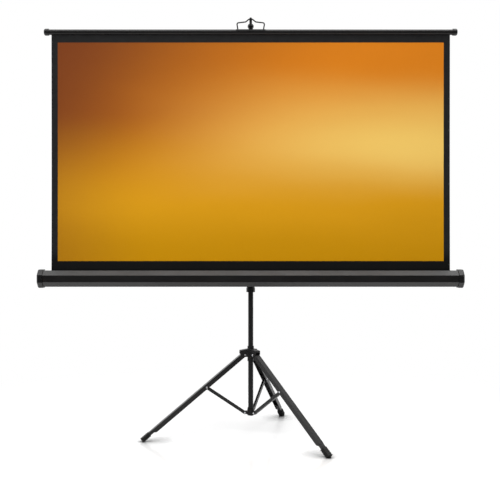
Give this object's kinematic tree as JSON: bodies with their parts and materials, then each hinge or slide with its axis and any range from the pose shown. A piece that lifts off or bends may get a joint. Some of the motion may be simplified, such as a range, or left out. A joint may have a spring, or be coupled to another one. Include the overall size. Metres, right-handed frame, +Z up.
{
  "type": "tripod projection screen",
  "caption": "Pull-up projection screen on a folding tripod: eight-sided case with a spring roller, framed fabric, slat with wire bail, and a telescopic mast with a hook.",
  "frame": {"origin": "on the floor, at the middle of the footprint that the three boots span", "axes": "+X along the case to the viewer's right, +Y away from the viewer, +Z up"},
  "size_m": [2.058, 0.927, 2.0345],
  "materials": {
    "black_tube": "satin black powder coat on steel tube, channel and wire",
    "case_paint": "semi-gloss black paint on rolled sheet",
    "black_plastic": "fine-grained black moulded plastic",
    "boot_rubber": "ribbed black rubber",
    "zinc_steel": "bright zinc-plated steel",
    "roller_aluminium": "mill-finish tube",
    "screen_cloth": "coated matt screen cloth, warm amber picture in a black border, black back"
  },
  "bodies": {
    "stand": {"pole_tube": "black_tube", "pole_end_plug": "black_plastic", "brace_collar": "black_tube", "collar_rivets": "zinc_steel", "height_clamp": "black_plastic"},
    "height_lock": {"height_knob": "black_plastic", "height_stud": "zinc_steel"},
    "hub": {"leg_hub": "black_tube", "hub_rivets": "zinc_steel"},
    "column": {"column_tube": "black_tube", "column_bush": "black_plastic", "mast_clamp": "black_plastic", "case_bracket": "black_plastic", "pivot_washer": "black_plastic", "pivot_plate": "black_tube", "pivot_bolt": "zinc_steel", "case_shell": "case_paint", "case_cap_left": "black_plastic", "case_cap_right": "black_plastic", "spring_shaft": "zinc_steel", "idler_axle": "zinc_steel", "roller_spring": "zinc_steel", "screen_fabric": "screen_cloth"},
    "mast_lock": {"mast_knob": "black_plastic", "mast_stud": "zinc_steel"},
    "roller": {"roller_tube": "roller_aluminium", "roller_plug_left": "black_plastic", "roller_plug_right": "black_plastic", "fabric_roll": "screen_cloth"},
    "mast": {"mast_tube": "black_tube", "mast_bush": "black_plastic", "mast_cap": "black_plastic", "screen_hook": "black_tube"},
    "slat": {"slat_tube": "case_paint", "slat_cap_left": "black_plastic", "slat_cap_right": "black_plastic", "hem_rod": "zinc_steel", "bail": "black_tube", "bail_clips": "black_tube"},
    "left_leg": {"leg_left": "black_tube", "leg_left_insert": "black_plastic", "leg_left_boot": "boot_rubber", "leg_left_rivet": "zinc_steel"},
    "left_brace": {"brace_left": "black_tube"},
    "right_leg": {"leg_right": "black_tube", "leg_right_insert": "black_plastic", "leg_right_boot": "boot_rubber", "leg_right_rivet": "zinc_steel"},
    "right_brace": {"brace_right": "black_tube"},
    "rear_leg": {"leg_rear": "black_tube", "leg_rear_insert": "black_plastic", "leg_rear_boot": "boot_rubber", "leg_rear_rivet": "zinc_steel"},
    "rear_brace": {"brace_rear": "black_tube"}
  },
  "joints": [
    {"name": "hub_slide", "type": "slide", "parent": "stand", "child": "hub", "axis": [0, 0, 1], "range_m": [0, 0.19016]},
    {"name": "left_leg_fold", "type": "hinge", "parent": "hub", "child": "left_leg", "pos_m": [-0.02945, -0.05474, 0.404], "axis": [0.1908, -0.9816, 0], "range_deg": [0, 51]},
    {"name": "left_brace_fold", "type": "hinge", "parent": "left_leg", "child": "left_brace", "pos_m": [-0.21559, -0.09093, 0.25045], "axis": [-0.1908, 0.9816, 0], "range_deg": [0, 106.48]},
    {"name": "right_leg_fold", "type": "hinge", "parent": "hub", "child": "right_leg", "pos_m": [0.01968, -0.07166, 0.404], "axis": [0.7547, 0.6561, 0], "range_deg": [0, 51]},
    {"name": "right_brace_fold", "type": "hinge", "parent": "right_leg", "child": "right_brace", "pos_m": [0.14409, -0.21477, 0.25045], "axis": [-0.7547, -0.6561, 0], "range_deg": [0, 106.48]},
    {"name": "rear_leg_fold", "type": "hinge", "parent": "hub", "child": "rear_leg", "pos_m": [0.00977, -0.02065, 0.404], "axis": [-0.9455, 0.3256, 0], "range_deg": [0, 51]},
    {"name": "rear_brace_fold", "type": "hinge", "parent": "rear_leg", "child": "rear_brace", "pos_m": [0.0715, 0.15864, 0.25045], "axis": [0.9455, -0.3256, 0], "range_deg": [0, 106.48]},
    {"name": "height_slide", "type": "slide", "parent": "stand", "child": "column", "axis": [0, 0, 1], "range_m": [0, 0.3]},
    {"name": "mast_slide", "type": "slide", "parent": "column", "child": "mast", "axis": [0, 0, -1], "range_m": [0, 0.8], "deforming": ["screen_fabric"]},
    {"name": "slat_lift", "type": "slide", "parent": "mast", "child": "slat", "axis": [0, 0, 1], "range_m": [0, 0.01]},
    {"name": "roller_spin", "type": "hinge", "parent": "column", "child": "roller", "pos_m": [0, -0.11602, 0.7803], "axis": [1, 0, 0], "range_deg": [0, 2795]},
    {"name": "height_knob_turn", "type": "hinge", "parent": "stand", "child": "height_lock", "pos_m": [0, -0.04902, 0.7216], "axis": [0, 1, 0], "range_deg": [0, 540]},
    {"name": "mast_knob_turn", "type": "hinge", "parent": "column", "child": "mast_lock", "pos_m": [0, -0.04902, 1.1136], "axis": [0, 1, 0], "range_deg": [0, 540]}
  ],
  "couplings": [
    {"joint": "left_leg_fold", "follows": "hub_slide", "rad_per_m": 4.6809},
    {"joint": "left_brace_fold", "follows": "hub_slide", "rad_per_m": 9.7726},
    {"joint": "right_leg_fold", "follows": "hub_slide", "rad_per_m": 4.6809},
    {"joint": "right_brace_fold", "follows": "hub_slide", "rad_per_m": 9.7726},
    {"joint": "rear_leg_fold", "follows": "hub_slide", "rad_per_m": 4.6809},
    {"joint": "rear_brace_fold", "follows": "hub_slide", "rad_per_m": 9.7726},
    {"joint": "roller_spin", "follows": "mast_slide", "rad_per_m": 60.976}
  ]
}
